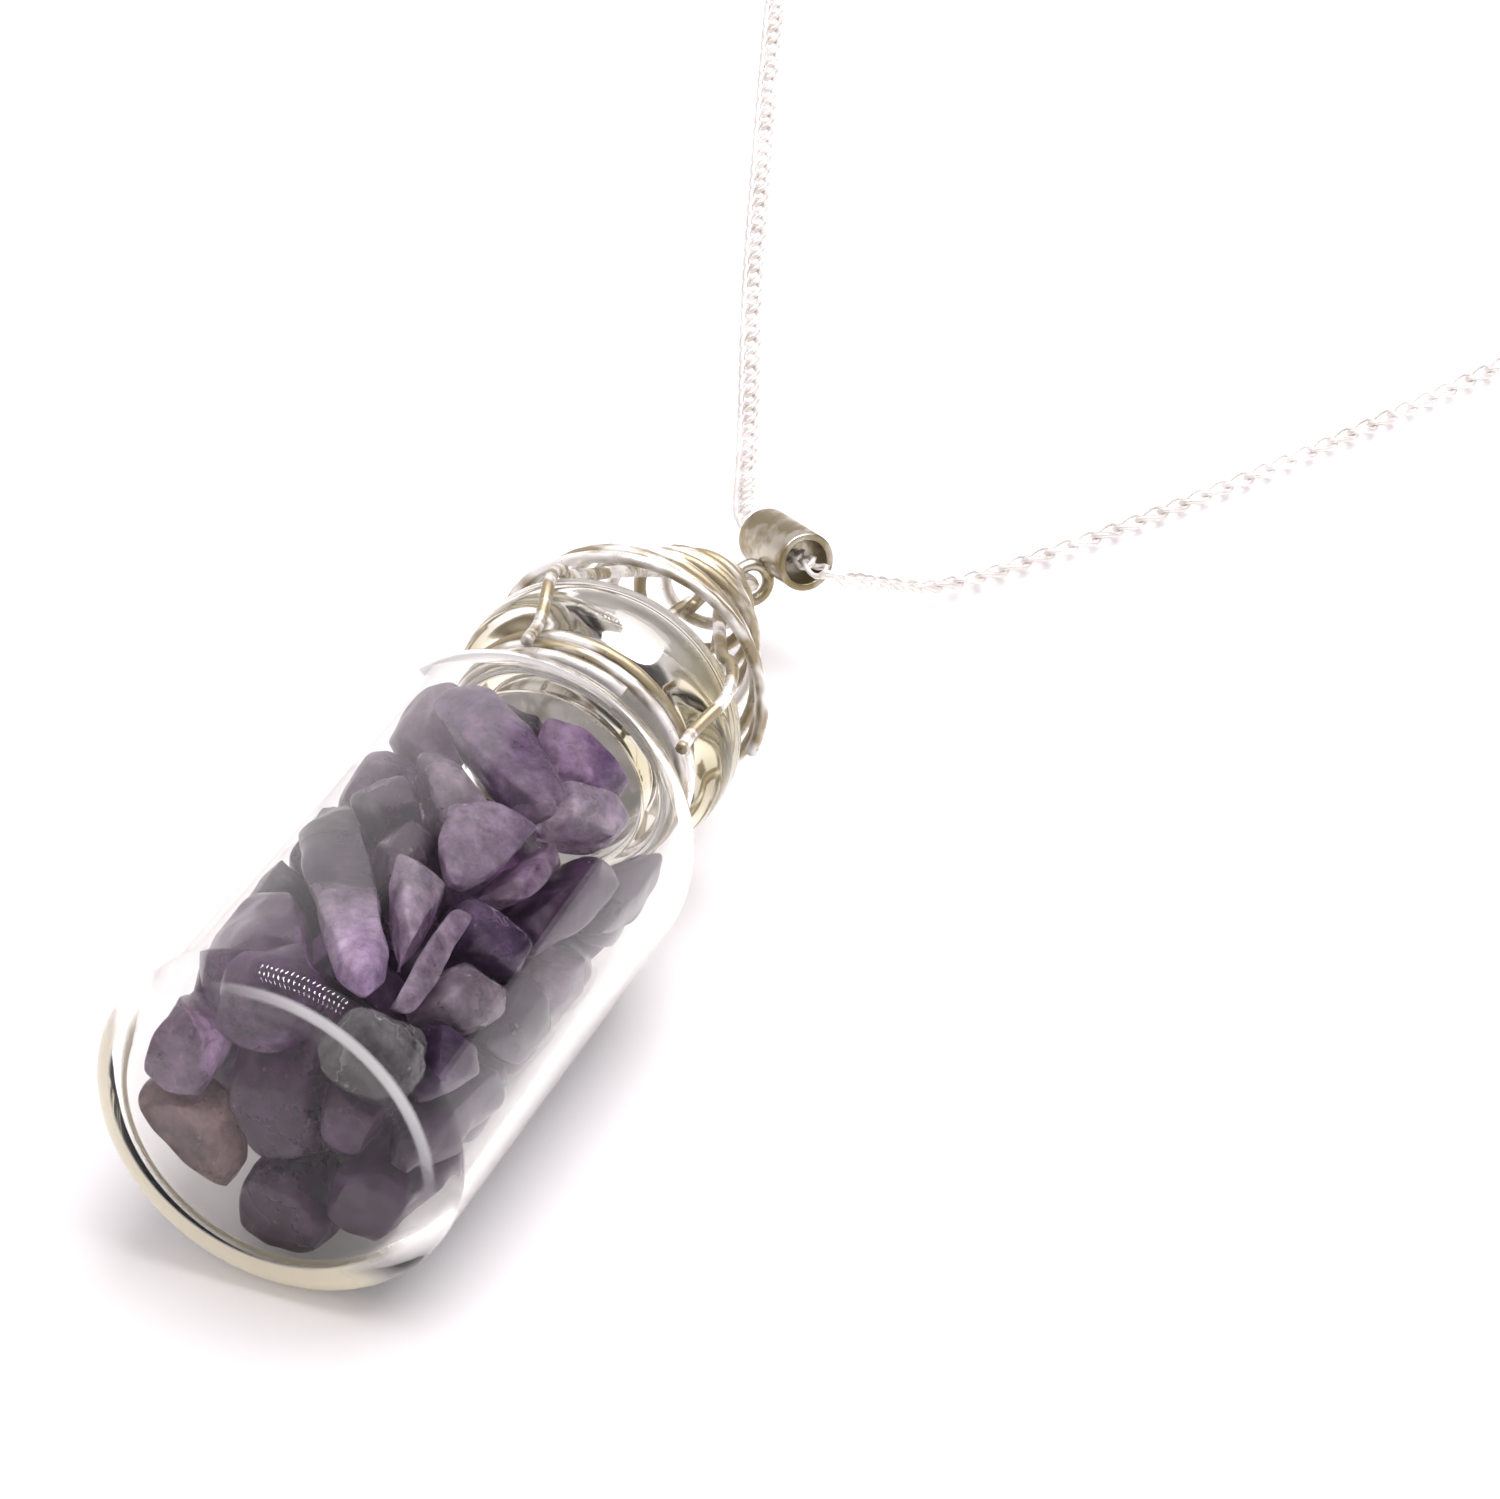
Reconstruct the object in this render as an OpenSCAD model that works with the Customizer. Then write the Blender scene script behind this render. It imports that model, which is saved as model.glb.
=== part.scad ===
// Bottle pendant: a small glass vial of amethyst chips, wrapped in wire, on a fine chain.
// Millimetres, +Z up. The vial lies on its side on Z = 0, with its axis along +Y and its
// base towards -Y. The origin is the middle of the whole necklace's outline, on the surface.
// Places inside the file are worked out with X = 0 on the vial's axis and Y = 0 at its base,
// and necklace_frame() moves the finished solids to the origin.

/* [Bottle] */
// Outside diameter of the vial's body
bottle_d = 16; // [13:0.5:19]
// Length of the straight body, from the base to the start of the shoulder
body_len = 23.5; // [20:0.5:28]
// Thickness of the side wall
glass_wall = 0.9; // [0.6:0.1:1.2]
// Thickness of the base
base_wall = 1.2; // [0.8:0.1:2]
// Radius of the rounded edge round the base
foot_round = 1.6; // [1:0.1:2.2]
// Radius of the shoulder's curve
shoulder_round = 3.8; // [3:0.1:4.6]
// Outside diameter of the neck
neck_d = 10; // [9:0.2:11]
// Thickness of the neck's wall
neck_wall = 0.8; // [0.6:0.1:1.2]
// Radius of the hollow curve from the shoulder into the neck
neck_fillet = 0.8; // [0.5:0.1:1.2]
// Length of the straight neck below the lip
neck_len = 2.6; // [2.4:0.1:4]
// Outside diameter of the lip
lip_d = 12.8; // [12.2:0.2:14]
// Height of the lip
lip_h = 3.4; // [2.6:0.1:4.4]
// Radius of the lip's outer edges
lip_round = 1.1; // [0.8:0.1:1.2]

/* [Stopper] */
// How far the stopper reaches down the neck from the mouth
stopper_len = 5; // [3:0.5:6]
// Bevel round both ends of the stopper
stopper_bevel = 0.4; // [0.2:0.1:0.6]

/* [Chips] */
// How far up the bottle the chips lie, from the inside of the base
fill_len = 22.2; // [18:0.2:23]
// Gap between one chip and the next, and between a chip and the glass
chip_gap = 0.12; // [0.1:0.02:0.3]
// How large each chip is before it's cut down to fit beside its neighbours
chip_size = 1.4; // [1:0.05:1.7]
// How rough the chips are, from 0 for smooth pebbles
chip_rough = 0.16; // [0.1:0.02:0.3]

/* [Wire] */
// Diameter of the wrapping wire
wire_d = 0.56; // [0.4:0.02:0.62]
// Gap kept between one piece and another
clearance = 0.12; // [0.1:0.01:0.16]
// Turns of wire round the neck
neck_turns = 2.4; // [1.5:0.1:2.6]
// Turns of wire in the cone over the mouth
cap_turns = 7; // [4:0.5:8]
// Length of the cone of wire, from the mouth to its point
cap_len = 10.6; // [8:0.2:11]
// How far the cone's point drops below the bottle's axis
cap_droop = 0.9; // [0:0.1:1.4]
// Radius of the loop at the wire's end, to the middle of the wire
loop_r = 1; // [0.9:0.05:1.2]

/* [Bail] */
// Outside diameter of the bail's tube
bail_d = 2.7; // [2.4:0.1:3.4]
// Bore of the bail's tube
bail_bore = 2; // [1.7:0.1:2.2]
// Length of the bail's tube
bail_len = 4.6; // [3.6:0.2:5]
// Thickness of the bail's ear
ear_d = 0.56; // [0.4:0.02:0.6]
// Radius of the ear, to the middle of its wire
ear_r = 0.85; // [0.8:0.05:1]

/* [Chain] */
// Width of the chain
chain_d = 1.2; // [0.8:0.05:1.3]
// How wide the chain's loop lies, between the middles of its two strands
loop_across = 108; // [90:1:120]
// How far the clasp's middle lies from the bottle's base
clasp_away = 232; // [210:1:250]
// Radius of the clasp's ring, to the middle of its wire
clasp_r = 2.6; // [2:0.1:4]
// Thickness of the clasp's ring
clasp_d = 1; // [0.8:0.1:1.2]
// Length of the clasp's two end caps
clasp_cap = 2.2; // [1.5:0.1:3]

/* [Hidden] */
bottle_r = bottle_d / 2;
cavity_r = bottle_r - glass_wall;
neck_r = neck_d / 2;
bore_r = neck_r - neck_wall;
lip_r = lip_d / 2;
wire_r = wire_d / 2;
chain_r = chain_d / 2;
arc_steps = 7; // straight steps in each arc of the bottle's outline
inner_foot_round = 0.5; // hollow corner inside the base
mouth_round = 0.5; // rounded inner edge of the mouth

// The shoulder's curve ends where the neck's hollow curve takes over
shoulder_x = bottle_r - shoulder_round;
shoulder_turn = acos((neck_r - shoulder_x + neck_fillet) / (shoulder_round + neck_fillet));
inner_turn = bore_r > shoulder_x ? acos((bore_r - shoulder_x) / (shoulder_round - glass_wall)) : 90;
fillet_x = neck_r + neck_fillet;
neck_start = body_len + (shoulder_round + neck_fillet) * sin(shoulder_turn);
lip_start = neck_start + neck_len;
mouth = lip_start + lip_h;

// How far a wire's middle lies from glass, and from the middle of another wire
on_glass = wire_r + clearance;
on_wire = wire_d + clearance;

// Pitch of the neck's turns, and the steps and sides of every swept wire
neck_pitch = 0.74;
turn_steps = 18;
wire_sides = 6;
bend_steps = 3;

// The two ends of the straight lines that the four stays follow to the cone's point,
// each as a distance from the cone's own axis and a place along the bottle
cone_foot = [lip_r - 0.8, mouth + 0.8];
cone_tip = [0.85, mouth + cap_len];
stay_turns = [22, 104, 197, 288]; // where each stay crosses the lip, in degrees
stay_twist = 26; // how far each stay turns on its way to the point, in degrees
free_end_turn = -20; // where the cone's first turn starts, in degrees
loop_from = 28; // where the end loop leaves its stem, in degrees round the loop
loop_to = 318; // where the end loop meets its stem again

// The chain's route, from one side of the clasp round through the bail and back. It was
// chosen by hand: the stretch beyond the middle of each strand takes the plain way round.
// It's planned for a loop of the plan's width and length, and beyond the bail it's spread
// to the loop's own.
lie = chain_r;
near_y = 60;
plan = [108, 232];
function spread(p) =
    let (far = max(0, min(1, (p[1] - near_y + 4) / 30)), past = max(0, p[1] - near_y))
    [
        p[0] * lerp(1, loop_across / plan[0], far),
        min(p[1], near_y) + past * (clasp_away - near_y) / (plan[1] - near_y),
        p[2]
    ];
clasp_at = spread([10, plan[1], lie]);
clasp_reach = clasp_r + clasp_cap + clearance;
route_plan = [
    [-4, 230.2, lie], [-17, 225.3, lie], [-31.5, 214, lie], [-40.5, 199, lie],
    [-44, 182, lie], [-40.5, 158.5, lie], [-35.5, 141.5, lie], [-29.5, 123.5, lie],
    [-23.4, 106.5, lie], [-16, 87, lie], [-12.3, 77.5, lie], [-8.8, 69, lie],
    [-6, 62.2, 1.4], [-3.7, 56.6, 3.3], [-2.4, 54, 4.2], [-1.1, 52.6, 4.7],
    [0.8, 50.9, 5.4], [2.7, 49.2, 6.1], [3.8, 48.5, 6.3], [4.5, 49.2, 5.7],
    [4.5, 51, 4.6], [4.7, 53.4, 3], [5.6, 56.2, 1.4], [7.8, 60, lie],
    [11.6, 65.5, lie], [17.3, 74.8, lie], [23.5, 86.3, lie], [34.5, 108, lie],
    [46.5, 132.5, lie], [57, 156, lie], [64, 182, lie], [60.7, 199, lie],
    [51.4, 214, lie], [37, 225.3, lie], [24, 230.2, lie]
];
route = concat(
    [clasp_at - [clasp_reach, 0, 0]],
    [for (p = route_plan) spread(p)],
    [clasp_at + [clasp_reach, 0, 0]]
);
bail_point = 17; // the route's point at the middle of the bail
chain_steps = 2;
chain_sides = 8;

// The bail lies along the chain, with its ear turned down towards the wire's loop
bail_at = route[bail_point];
bail_along = unit(route[bail_point + 1] - route[bail_point - 1]);
bail_ear_way = across(bail_along, [-0.45, -0.75, -0.49]);
ear_at = bail_at + (bail_d / 2 + ear_r) * bail_ear_way;

// The middle of the necklace's outline on the surface
outline_x = [min([for (p = route) p[0]]) - chain_r, max([for (p = route) p[0]]) + chain_r];
outline_y = [0, clasp_at[1] + clasp_r + clasp_d / 2];
origin_at = [(outline_x[0] + outline_x[1]) / 2, (outline_y[0] + outline_y[1]) / 2, 0];

// The chips that show, each as a row of:
// along: middle of the chip up the bottle, as a share of fill_len
// turn: degrees round the bottle's axis, with 0 towards +X and 90 on top
// deep: distance from the axis to the chip's middle, as a share of the cavity's radius
// long, wide, thick: the chip's size, as shares of the cavity's radius
// head: degrees from the bottle's axis to the chip's long side, towards higher turns
// taper: how much narrower the chip's tail is than its head, as a share
chips = [
    [0.36, 97, 0.68, 1.62, 0.62, 0.46, 35, 0.25], [0.60, 62, 0.75, 0.80, 0.72, 0.40, 0, 0.62],
    [0.60, 43, 0.70, 0.70, 0.50, 0.44, -8, 0.30], [0.86, 37, 0.68, 0.68, 0.66, 0.52, 20, 0.45],
    [0.95, 54, 0.66, 0.56, 0.66, 0.44, 60, 0.20], [0.855, 82, 0.74, 0.98, 0.56, 0.40, 54, 0.25],
    [0.94, 124, 0.70, 0.56, 0.54, 0.44, 0, 0.20], [0.98, 90, 0.56, 0.46, 0.62, 0.44, 90, 0.10],
    [0.79, 139, 0.72, 0.56, 0.50, 0.42, 20, 0.30], [0.68, 116, 0.62, 0.62, 0.62, 0.50, 70, 0.20],
    [0.73, 88, 0.58, 0.74, 0.60, 0.52, 60, 0.20], [0.69, 19, 0.72, 1.10, 0.74, 0.46, -6, 0.30],
    [0.83, -2, 0.73, 1.00, 0.66, 0.46, -10, 0.30], [0.49, 82, 0.58, 0.80, 0.56, 0.50, 10, 0.20],
    [0.36, 65, 0.74, 0.72, 0.54, 0.38, 25, 0.50], [0.28, 54, 0.77, 0.84, 0.30, 0.30, 4, 0.20],
    [0.45, 40, 0.68, 0.68, 0.62, 0.48, -30, 0.20], [0.22, 124, 0.70, 0.86, 0.64, 0.44, 12, 0.25],
    [0.42, 143, 0.70, 0.54, 0.52, 0.44, 0, 0.20], [0.60, 144, 0.70, 0.54, 0.50, 0.44, 30, 0.20],
    [0.30, 31, 0.70, 0.66, 0.52, 0.46, -20, 0.25], [0.10, 42, 0.68, 0.54, 0.66, 0.48, 70, 0.20],
    [0.16, 20, 0.72, 0.48, 0.46, 0.42, 10, 0.30], [0.20, -4, 0.72, 0.86, 0.52, 0.44, -4, 0.35],
    [0.40, 2, 0.72, 0.84, 0.56, 0.44, -6, 0.25], [0.57, -2, 0.72, 0.70, 0.56, 0.44, 20, 0.20],
    [0.08, 98, 0.66, 0.46, 0.72, 0.46, 80, 0.20], [0.09, 162, 0.64, 0.58, 0.66, 0.44, 0, 0.20],
    [0.08, 209, 0.63, 0.68, 0.52, 0.54, -90, 0.65], [0.12, 90, 0.05, 0.76, 0.90, 0.84, 0, 0.10],
    [0.10, 15, 0.42, 0.56, 0.60, 0.50, 0, 0.10], [0.09, 266, 0.64, 0.60, 0.58, 0.58, 0, 0.25],
    [0.09, 322, 0.66, 0.60, 0.70, 0.50, 0, 0.20]
];

// The chips under them: rings of five against the lower glass, then a row up the middle
bed_rings = [0.30, 0.50, 0.70, 0.90];
bed_turns = [176, 216, 256, 296, 336];
bed_core = [0.30, 0.47, 0.65, 0.83];
bed = concat(
    [for (a = bed_rings, t = bed_turns) [a, t + 14 * a, 0.70, 0.66, 0.60, 0.44, 360 * noise(a, t), 0.25]],
    [for (a = bed_core) [a, 90, 0.10, 0.66, 0.66, 0.64, 360 * noise(a, 1), 0.15]]
);
stones = concat(chips, bed);
chip_points = 40;
chip_square = 4; // higher is squarer: 2 would be an egg

function unit(v) = v / norm(v);
// The part of v that is square to the unit vector a, as a unit vector
function across(a, v) = unit(v - (v * a) * a);
function lerp(a, b, t) = a + (b - a) * t;
function within(v, most) = max(-most, min(most, v));
// A number from 0 to 1 that looks random
function noise(a, b) = let (v = sin(a * 1271 + b * 3117) * 4375.85) v - floor(v);
// A point on a circle about the bottle's axis
function round_axis(r, turn, y) = [r * cos(turn), y, bottle_r + r * sin(turn)];
// Points on an arc in the bottle's outline
function arc(cx, cy, r, from, to) =
    [for (k = [0:arc_steps]) let (a = lerp(from, to, k / arc_steps)) [cx + r * cos(a), cy + r * sin(a)]];

// A smooth curve through points, with so many steps from each to the next
function curve(p, steps) = let (n = len(p)) concat(
    [for (i = [0:n - 2], k = [0:steps - 1])
        let (t = k / steps, a = p[max(i - 1, 0)], b = p[i], c = p[i + 1], d = p[min(i + 2, n - 1)])
        b + 0.5 * t * ((c - a) + t * ((2 * a - 5 * b + 4 * c - d) + t * (3 * b - a - 3 * c + d)))],
    [p[n - 1]]
);

// A round wire swept along a path. Each section's frame is carried on from the one before.
module sweep(path, r, sides) {
    n = len(path);
    way = [for (i = [0:n - 1]) unit(path[min(i + 1, n - 1)] - path[max(i - 1, 0)])];
    first = across(way[0], abs(way[0][2]) < 0.8 ? [0, 0, 1] : [1, 0, 0]);
    side = [for (i = 0, u = first; i < n; i = i + 1, u = i < n ? across(way[i], u) : u) u];
    points = [
        for (i = [0:n - 1], k = [0:sides - 1])
            let (a = 360 * k / sides)
            path[i] + r * (cos(a) * side[i] + sin(a) * cross(way[i], side[i]))
    ];
    walls = [
        for (i = [0:n - 2], k = [0:sides - 1], half = [0, 1])
            let (a = i * sides + k, b = i * sides + (k + 1) % sides)
            half == 0 ? [a, b, b + sides] : [a, b + sides, a + sides]
    ];
    start = [for (k = [sides - 1:-1:0]) k];
    end = [for (k = [0:sides - 1]) (n - 1) * sides + k];
    polyhedron(concat(points), [for (f = concat(walls, [start, end])) [for (k = [len(f) - 1:-1:0]) f[k]]]);
}

// Moves the finished solids from the bottle's base to the necklace's origin
module necklace_frame() {
    translate(-origin_at) children();
}

// Stands a shape turned about Z along the bottle's axis, with its Z = 0 at the base
module on_bottle_axis() {
    translate([0, 0, bottle_r]) rotate([-90, 0, 0]) children();
}

module bottle() {
    outside = concat(
        [[0, 0]],
        arc(bottle_r - foot_round, foot_round, foot_round, -90, 0),
        arc(shoulder_x, body_len, shoulder_round, 0, shoulder_turn),
        arc(fillet_x, neck_start, neck_fillet, shoulder_turn + 180, 180),
        [[neck_r, lip_start]],
        arc(lip_r - lip_round, lip_start + lip_round, lip_round, -90, 0),
        arc(lip_r - lip_round, mouth - lip_round, lip_round, 0, 90)
    );
    inside = concat(
        arc(bore_r + mouth_round, mouth - mouth_round, mouth_round, 90, 180),
        [[bore_r, body_len + (shoulder_round - glass_wall) * sin(inner_turn)]],
        arc(shoulder_x, body_len, shoulder_round - glass_wall, inner_turn, 0),
        arc(cavity_r - inner_foot_round, base_wall + inner_foot_round, inner_foot_round, 0, -90),
        [[0, base_wall]]
    );
    color([0.86, 0.9, 0.86, 0.35])
        on_bottle_axis() rotate_extrude($fn = 96) polygon(concat(outside, inside));
}

module stopper() {
    r = bore_r - clearance;
    color([0.9, 0.92, 0.9, 0.5])
        on_bottle_axis() rotate_extrude($fn = 64) polygon([
            [0, mouth - stopper_len], [r - stopper_bevel, mouth - stopper_len],
            [r, mouth - stopper_len + stopper_bevel], [r, mouth - stopper_bevel],
            [r - stopper_bevel, mouth], [0, mouth]
        ]);
}

// A chip's middle
function chip_at(s) = round_axis(s[2] * cavity_r, s[1], base_wall + s[0] * fill_len);
// A chip's three ways, from its tail to its head, across it and through it
function chip_ways(s) =
    let (out = [cos(s[1]), 0, sin(s[1])], round_way = [-sin(s[1]), 0, cos(s[1])], up = [0, 1, 0])
    [cos(s[6]) * up + sin(s[6]) * round_way, cos(s[6]) * round_way - sin(s[6]) * up, out];
function chip_half(s) = 0.5 * chip_size * cavity_r * [s[3], s[4], s[5]];
// The straight line inside a chip that its body surrounds: half its length
function chip_core(s) = let (h = chip_half(s)) max(0.01, h[0] - max(h[1], h[2]));
// How far a chip reaches along a way from the line inside it
function chip_reach(s, way) =
    let (w = chip_ways(s), h = chip_half(s))
    norm([(h[0] - chip_core(s)) * (w[0] * way), h[1] * (w[1] * way), h[2] * (w[2] * way)]);

// The two nearest places on the lines inside chips a and b, as distances from their middles
function nearest(a, b) =
    let (
        r = chip_at(a) - chip_at(b),
        da = chip_ways(a)[0],
        db = chip_ways(b)[0],
        la = chip_core(a),
        lb = chip_core(b),
        slant = da * db,
        ra = da * r,
        rb = db * r,
        first = within((slant * rb - ra) / max(0.0001, 1 - slant * slant), la),
        along_b = within(slant * first + rb, lb)
    )
    [within(slant * along_b - ra, la), along_b];

// Where each chip stops against its neighbours: pairs of a way and a distance along it.
// Two chips share one plane between the lines inside them, so they can't overlap.
function chip_stops(i) = [
    for (j = [0:len(stones) - 1])
        if (j != i && norm(chip_at(stones[j]) - chip_at(stones[i])) < 2 * cavity_r)
            let (
                a = stones[min(i, j)],
                b = stones[max(i, j)],
                at = nearest(a, b),
                on_a = chip_at(a) + at[0] * chip_ways(a)[0],
                on_b = chip_at(b) + at[1] * chip_ways(b)[0],
                gap = norm(on_b - on_a),
                way = (on_b - on_a) / gap,
                share = chip_reach(a, way) / (chip_reach(a, way) + chip_reach(b, way)),
                plane = on_a + share * gap * way,
                mine = i < j ? way : -way
            )
            [mine, (plane - chip_at(stones[i])) * mine - chip_gap / 2]
];

// The radius of the hollow at a place along the bottle, up to where the neck's bore begins
function hollow_r(y) =
    let (above = max(0, y - body_len))
    shoulder_x + sqrt(max(0, pow(shoulder_round - glass_wall, 2) - above * above));
function in_hollow(p) = norm([p[0], p[2] - bottle_r]) < hollow_r(p[1]) - chip_gap;
// The largest share of the way from p to p + d that stays in the hollow, by halving
function hollow_share(p, d, low, high, halvings) =
    let (middle = (low + high) / 2)
    halvings == 0 ? low
    : in_hollow(p + middle * d) ? hollow_share(p, d, middle, high, halvings - 1)
    : hollow_share(p, d, low, middle, halvings - 1);

// The share of the way from p to p + d at which a chip meets a neighbour, the glass or the base
function stop_share(p, d, stops) =
    let (
        near = [for (s = stops) if (d * s[0] > s[1]) s[1] / (d * s[0])],
        low = base_wall + 2 * chip_gap,
        high = base_wall + fill_len + 0.6,
        base = p[1] + d[1] < low ? (low - p[1]) / d[1] : 1,
        top = p[1] + d[1] > high ? (high - p[1]) / d[1] : 1,
        share = min(concat(near, [1, base, top]))
    )
    in_hollow(p + share * d) ? share : hollow_share(p, d, 0, share, 10);

// A chip: the hull of points spread evenly over a squarish egg, roughened, tapered and
// drawn in towards the middle wherever they would pass a stop
module chip(i) {
    s = stones[i];
    ways = chip_ways(s);
    half = chip_half(s);
    middle = chip_at(s);
    stops = chip_stops(i);
    points = [
        for (k = [0:chip_points - 1])
            let (
                z = 1 - (2 * k + 1) / chip_points,
                turn = 222.5 * k + 50 * noise(i, 7),
                ring = sqrt(1 - z * z),
                u = [z, ring * cos(turn), ring * sin(turn)],
                powers = [for (v = u) pow(abs(v), chip_square)],
                square = pow(powers[0] + powers[1] + powers[2], 1 / chip_square),
                size = (1 - chip_rough * noise(i, k)) / square,
                narrow = 1 - s[7] * (1 - u[0] * size) / 2,
                across_it = u[1] * half[1] * ways[1] + u[2] * half[2] * ways[2],
                d = size * (u[0] * half[0] * ways[0] + narrow * across_it)
            )
            middle + stop_share(middle, d, stops) * d
    ];
    hull() polyhedron(points, [for (k = [0:chip_points - 3]) [k, k + 1, k + 2]]);
}

// The chips' colours go from pale lavender to dark grey violet
chip_tone = [[0.66, 0.6, 0.72], [0.36, 0.3, 0.42], [0.5, 0.44, 0.58], [0.28, 0.25, 0.3]];

module shown_chip(i) {
    color(chip_tone[floor(4 * noise(i, 3))]) chip(i);
}

module chip_bed() {
    color([0.42, 0.36, 0.48]) for (i = [len(chips):len(stones) - 1]) chip(i);
}

module neck_wrap() {
    top = lip_start - on_glass;
    path = [
        for (k = [0:round(neck_turns * turn_steps)])
            let (t = k / turn_steps) round_axis(neck_r + on_glass, 200 - 360 * t, top - neck_pitch * t)
    ];
    color("silver") sweep(path, wire_r, wire_sides);
}

// The cone's own axis bends down towards its point
function cone_axis(y) =
    let (t = max(0, (y - cone_foot[1]) / (cone_tip[1] - cone_foot[1]))) [0, y, bottle_r - cap_droop * t * t];
function round_cone(r, turn, y) = cone_axis(y) + r * [cos(turn), 0, sin(turn)];

// A stay comes out of the groove under the lip, over the lip and straight to the cone's point
module stay(i) {
    groove_r = neck_r + on_glass + on_wire;
    edge = lip_round + on_glass;
    slant = edge * sin(45);
    half_way = lerp(cone_foot, cone_tip, 0.5);
    // Each row: distance from the cone's axis, place along the bottle, share of the twist
    rows = [
        [groove_r, lip_start - 2.2, 0],
        [groove_r, lip_start - 0.9, 0.02],
        [lip_r - lip_round + slant, lip_start + lip_round - slant, 0.05],
        [lip_r + on_glass, lip_start + lip_round, 0.1],
        [lip_r + on_glass, mouth - lip_round, 0.2],
        [lip_r - lip_round + slant, mouth - lip_round + slant, 0.3],
        [cone_foot[0], cone_foot[1], 0.4],
        [half_way[0], half_way[1], 0.7],
        [cone_tip[0], cone_tip[1], 1]
    ];
    path = [for (p = rows) round_cone(p[0], stay_turns[i] + stay_twist * p[2], p[1])];
    color("silver") sweep(curve(path, bend_steps), wire_r, wire_sides);
}

// The cone of turns, outside the stays, from a free end beside the lip
module cap_coil() {
    slope = unit(cone_tip - cone_foot);
    off = (on_wire + 0.06) * [slope[1], -slope[0]];
    foot = cone_foot + off;
    tip = cone_tip + off - 0.4 * slope;
    steps = round(cap_turns * turn_steps);
    path = [
        for (k = [0:steps])
            let (
                t = k / steps,
                turn = 360 * cap_turns * t + free_end_turn,
                p = lerp(foot, tip, t),
                loose = 0.18 * (1 - t)
            )
            round_cone(p[0] + loose * (1 + sin(2.3 * turn)), turn, p[1] + loose * sin(1.7 * turn + 40))
    ];
    color("silver") sweep(path, wire_r, wire_sides);
}

// The wire's end: out of the cone's point, round through the bail's ear, and back round itself
module end_loop() {
    start = cone_axis(cone_tip[1] - 2.4);
    aim = unit(cone_axis(cone_tip[1]) - ear_at);
    inward = across(bail_along, aim);
    loop_at = ear_at + loop_r * inward;
    lift = cross(inward, bail_along);
    to_start = cone_axis(cone_tip[1]) - loop_at;
    home = atan2(to_start * bail_along, -(to_start * inward));
    stem = unit(to_start);
    wrap_turns = 2.25;
    wrap_r = on_wire;
    wrap_foot = loop_at + (loop_r + 0.45) * stem;
    wrap_u = across(stem, bail_along);
    wrap_v = cross(stem, wrap_u);
    ring = [
        for (k = [0:13])
            let (t = k / 13, a = home - lerp(loop_from, loop_to, t))
            loop_at + loop_r * (sin(a) * bail_along - cos(a) * inward) + lift * lerp(-0.1, 0.3, t)
    ];
    wrap = [
        for (k = [0:round(wrap_turns * 10)])
            let (t = k / 10, a = 360 * t)
            wrap_foot + (0.1 + 0.68 * t) * stem + wrap_r * (cos(a) * wrap_u + sin(a) * wrap_v)
    ];
    way_out = [start, cone_axis(cone_tip[1] - 0.4), wrap_foot + 0.9 * stem, wrap_foot];
    path = concat(curve(concat(way_out, ring), 2), wrap);
    color("silver") sweep(path, wire_r, wire_sides);
}

module bail() {
    color("silver")
        translate(bail_at)
        multmatrix(frame_of(bail_along, bail_ear_way))
        difference() {
            union() {
                cylinder(d = bail_d, h = bail_len, center = true, $fn = 48);
                translate([bail_d / 2 + ear_r, 0, 0])
                    rotate_extrude($fn = 36) translate([ear_r, 0]) circle(d = ear_d, $fn = 18);
            }
            cylinder(d = bail_bore, h = bail_len + 1, center = true, $fn = 48);
        }
}

// Turns Z to the unit vector z and X to the unit vector x
function frame_of(z, x) = let (y = cross(z, x))
    [[x[0], y[0], z[0], 0], [x[1], y[1], z[1], 0], [x[2], y[2], z[2], 0], [0, 0, 0, 1]];

module chain() {
    path = [for (p = curve(route, chain_steps)) [p[0], p[1], max(lie, p[2])]];
    color("silver") sweep(path, chain_r, chain_sides);
}

module clasp() {
    color("silver") translate([clasp_at[0], clasp_at[1], clasp_d / 2]) {
        rotate_extrude($fn = 48) translate([clasp_r, 0]) circle(d = clasp_d, $fn = 20);
        for (way = [-90, 90])
            rotate([0, way, 0]) translate([0, 0, clasp_r]) cylinder(d = clasp_d, h = clasp_cap, $fn = 20);
    }
}

function chip_name(i) = str("chip_", i < 9 ? "0" : "", i + 1);

necklace_frame() bottle();
necklace_frame() stopper();
necklace_frame() neck_wrap();
for (i = [0:3]) necklace_frame() stay(i);
necklace_frame() cap_coil();
necklace_frame() end_loop();
necklace_frame() bail();
necklace_frame() chain();
necklace_frame() clasp();
necklace_frame() chip_bed();
for (i = [0:len(chips) - 1]) necklace_frame() shown_chip(i);
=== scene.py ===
"""Bottle pendant: looks. A glass vial of amethyst chips, capped with wrapped wire, on a curb chain.

Shapes are worked out in millimetres with X = 0 on the vial's axis and Y = 0 at its base, and
settle() puts them in the row's frame. The camera looks down 35 degrees from the base's right.
"""

import math

import bmesh
import bpy
from mathutils import Matrix, Vector, noise


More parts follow.
